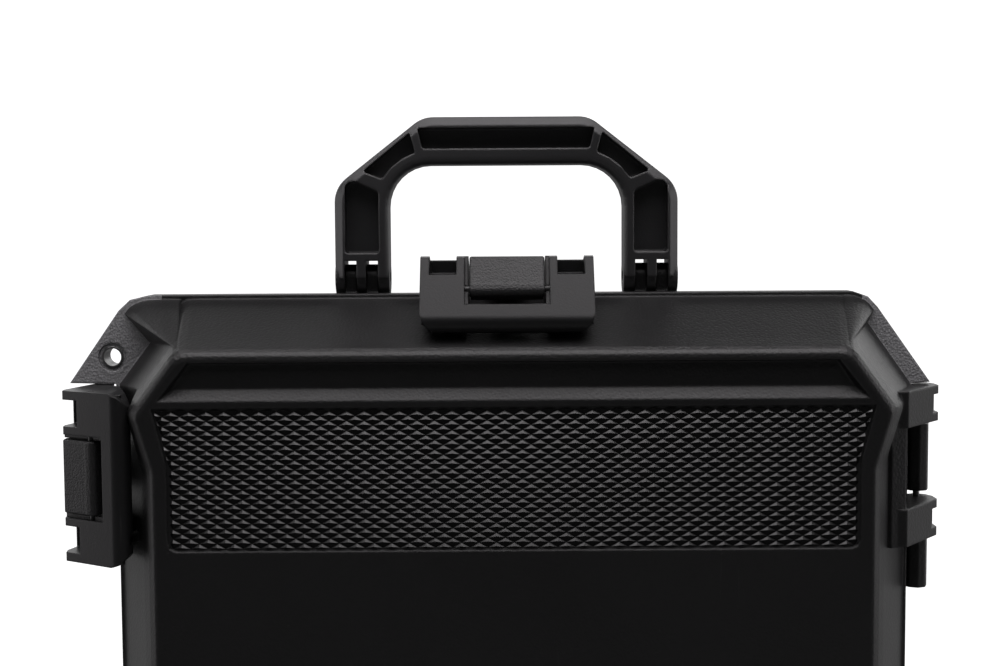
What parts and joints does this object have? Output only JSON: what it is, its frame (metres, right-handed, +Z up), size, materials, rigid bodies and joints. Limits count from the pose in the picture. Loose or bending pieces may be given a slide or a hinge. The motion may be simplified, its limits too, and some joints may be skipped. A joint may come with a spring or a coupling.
{
  "type": "hard protective transport case",
  "caption": "Long black hard plastic protective case standing on its end, with a hinged lid, trigger latches, folding handles, padlock holes and a foam-lined interior.",
  "frame": {"origin": "bottom centre of the closed case's bounding box, on the ground; the parting plane between base and lid is at y = -20 mm and the body centre plane at x = 4.1 mm", "axes": "+X toward the hinge side, +Y toward the back of the base (the lid faces -Y), +Z up along the length of the case toward the end handle"},
  "size_m": [0.3926, 0.144, 0.8399],
  "materials": {
    "shell_plastic": "fine moulded grain, matte",
    "handle_plastic": "satin moulded plastic",
    "latch_plastic": "satin moulded plastic",
    "trigger_plastic": "coarse moulded grain",
    "foam": "open-cell foam, dark grey",
    "gasket_rubber": "soft matte rubber",
    "pad_rubber": "matte rubber",
    "pin_steel": "drawn stainless pin",
    "bushing_steel": "stainless, lightly scuffed",
    "screw_steel": "plated steel"
  },
  "bodies": {
    "base": {"base_shell": "shell_plastic", "base_foam": "foam", "end_handle_pins": "pin_steel", "side_handle_pins": "pin_steel", "hinge_pins": "pin_steel", "base_padlock_bushings": "bushing_steel", "base_foot_pads": "pad_rubber", "base_foot_screws": "screw_steel"},
    "lid": {"lid_shell": "shell_plastic", "lid_gasket": "gasket_rubber", "lid_foam": "foam", "latch_pivot_pins": "pin_steel", "lid_padlock_bushings": "bushing_steel", "lid_foot_pads": "pad_rubber", "lid_foot_screws": "screw_steel"},
    "end_handle": {"end_handle": "handle_plastic"},
    "side_handle": {"side_handle": "handle_plastic"},
    "top_latch": {"top_latch": "latch_plastic", "top_trigger_pin": "pin_steel"},
    "top_trigger": {"top_trigger": "trigger_plastic"},
    "bottom_latch": {"bottom_latch": "latch_plastic", "bottom_trigger_pin": "pin_steel"},
    "bottom_trigger": {"bottom_trigger": "trigger_plastic"},
    "upper_side_latch": {"upper_side_latch": "latch_plastic", "upper_side_trigger_pin": "pin_steel"},
    "upper_side_trigger": {"upper_side_trigger": "trigger_plastic"},
    "lower_side_latch": {"lower_side_latch": "latch_plastic", "lower_side_trigger_pin": "pin_steel"},
    "lower_side_trigger": {"lower_side_trigger": "trigger_plastic"}
  },
  "joints": [
    {"name": "lid_hinge", "type": "hinge", "parent": "base", "child": "lid", "pos_m": [0.1893, -0.02, 0.392], "axis": [0, 0, 1], "range_deg": [0, 105]},
    {"name": "end_handle_fold", "type": "hinge", "parent": "base", "child": "end_handle", "pos_m": [0.0018, -0.008, 0.767], "axis": [-1, 0, 0], "range_deg": [0, 90]},
    {"name": "side_handle_swing", "type": "hinge", "parent": "base", "child": "side_handle", "pos_m": [-0.1824, -0.008, 0.392], "axis": [0, 0, 1], "range_deg": [0, 90]},
    {"name": "top_latch_pivot", "type": "hinge", "parent": "lid", "child": "top_latch", "pos_m": [0.0018, -0.062, 0.7495], "axis": [1, 0, 0], "range_deg": [0, 60]},
    {"name": "top_trigger_pivot", "type": "hinge", "parent": "top_latch", "child": "top_trigger", "pos_m": [0.0018, -0.0555, 0.763], "axis": [1, 0, 0], "range_deg": [0, 12]},
    {"name": "bottom_latch_pivot", "type": "hinge", "parent": "lid", "child": "bottom_latch", "pos_m": [0.0018, -0.062, 0.0345], "axis": [-1, 0, 0], "range_deg": [0, 60]},
    {"name": "bottom_trigger_pivot", "type": "hinge", "parent": "bottom_latch", "child": "bottom_trigger", "pos_m": [0.0018, -0.0555, 0.021], "axis": [-1, 0, 0], "range_deg": [0, 12]},
    {"name": "upper_side_latch_pivot", "type": "hinge", "parent": "lid", "child": "upper_side_latch", "pos_m": [-0.1656, -0.062, 0.682], "axis": [0, 0, 1], "range_deg": [0, 60]},
    {"name": "upper_side_trigger_pivot", "type": "hinge", "parent": "upper_side_latch", "child": "upper_side_trigger", "pos_m": [-0.1791, -0.0555, 0.682], "axis": [0, 0, 1], "range_deg": [0, 12]},
    {"name": "lower_side_latch_pivot", "type": "hinge", "parent": "lid", "child": "lower_side_latch", "pos_m": [-0.1656, -0.062, 0.102], "axis": [0, 0, 1], "range_deg": [0, 60]},
    {"name": "lower_side_trigger_pivot", "type": "hinge", "parent": "lower_side_latch", "child": "lower_side_trigger", "pos_m": [-0.1791, -0.0555, 0.102], "axis": [0, 0, 1], "range_deg": [0, 12]}
  ]
}
